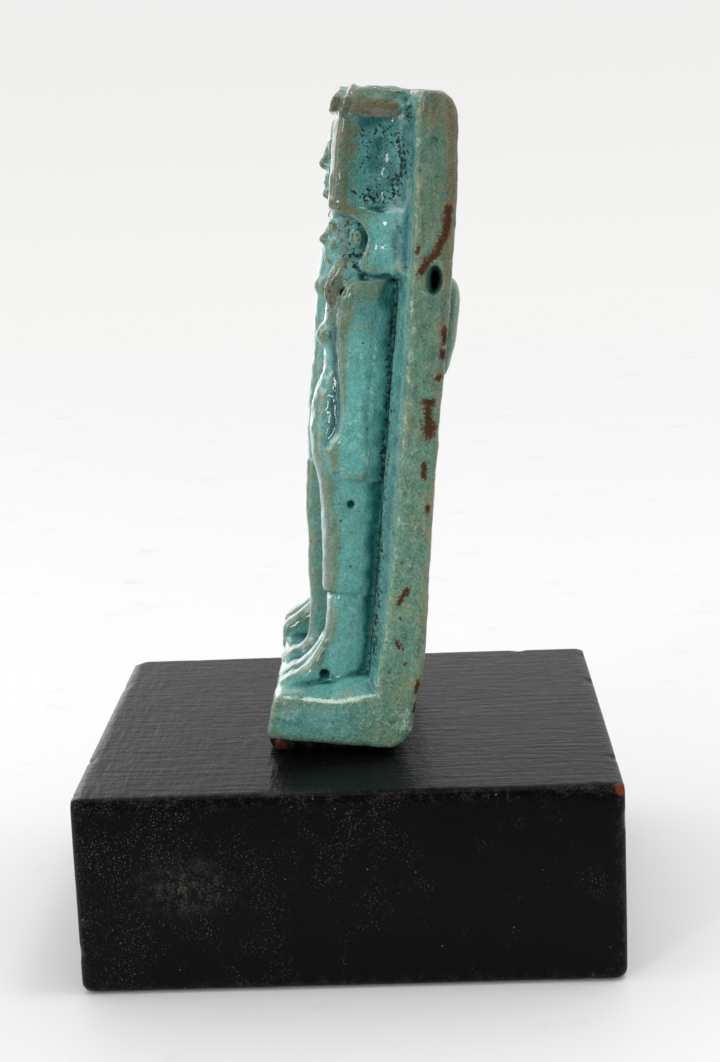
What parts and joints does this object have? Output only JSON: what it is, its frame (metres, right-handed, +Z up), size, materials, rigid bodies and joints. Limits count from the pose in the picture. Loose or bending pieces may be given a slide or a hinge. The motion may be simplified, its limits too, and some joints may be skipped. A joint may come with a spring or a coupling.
{
  "type": "faience triad amulet",
  "caption": "Small moulded faience amulet of a striding child god between two goddesses before a back slab, set with wax on a black wooden stand.",
  "frame": {"origin": "centre of the wooden stand's underside", "axes": "+Z up, the figures face -Y, their proper left is +X; the slab leans back towards +Y"},
  "size_m": [0.0364, 0.038, 0.0611],
  "materials": {
    "green_faience": "glazed faience, turquoise in the hollows and worn olive green on the high parts, glossy",
    "black_painted_wood": "black paint over wood, satin on top and dull on the sides",
    "brown_wax": "rust-brown mounting wax, dull"
  },
  "bodies": {
    "root": {"triad_amulet": "green_faience", "wooden_block": "black_painted_wood", "mounting_wax": "brown_wax"}
  },
  "joints": []
}
